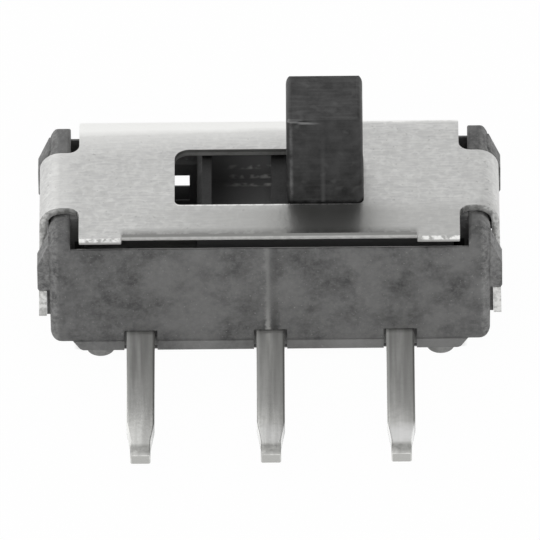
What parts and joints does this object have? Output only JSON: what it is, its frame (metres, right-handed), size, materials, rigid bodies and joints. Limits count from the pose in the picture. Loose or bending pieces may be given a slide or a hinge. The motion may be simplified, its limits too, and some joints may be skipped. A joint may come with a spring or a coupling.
{
  "type": "slide switch",
  "caption": "Right-angle miniature slide switch with a moulded housing, a bent steel cover, a square lever and a row of flat terminals leaving its front face.",
  "frame": {"origin": "under the middle of the housing, in the plane of the feet", "axes": "+X along the slider's travel, -Y the way the terminals point, +Z along the lever"},
  "size_m": [0.009, 0.0072, 0.005],
  "materials": {
    "housing_plastic": "moulded glass-filled thermoplastic, matt black, faint witness line down the front",
    "cover_steel": "tin-plated sheet steel, fine rolled grain, bright sheared edges",
    "lever_plastic": "moulded thermoplastic, satin black",
    "contact_bronze": "rolled phosphor bronze strip, bright",
    "spring_steel": "rolled spring steel strip, bright",
    "terminal_plate": "tin-plated brass, smooth and satin"
  },
  "bodies": {
    "base": {"housing": "housing_plastic", "cover": "cover_steel", "terminal_left": "terminal_plate", "terminal_common": "terminal_plate", "terminal_right": "terminal_plate"},
    "slide": {"slider": "lever_plastic", "contact_clip": "contact_bronze", "detent_spring": "spring_steel"}
  },
  "joints": [
    {"name": "lever_slide", "type": "slide", "parent": "base", "child": "slide", "axis": [1, 0, 0], "range_m": [-0.00215, 0]}
  ]
}
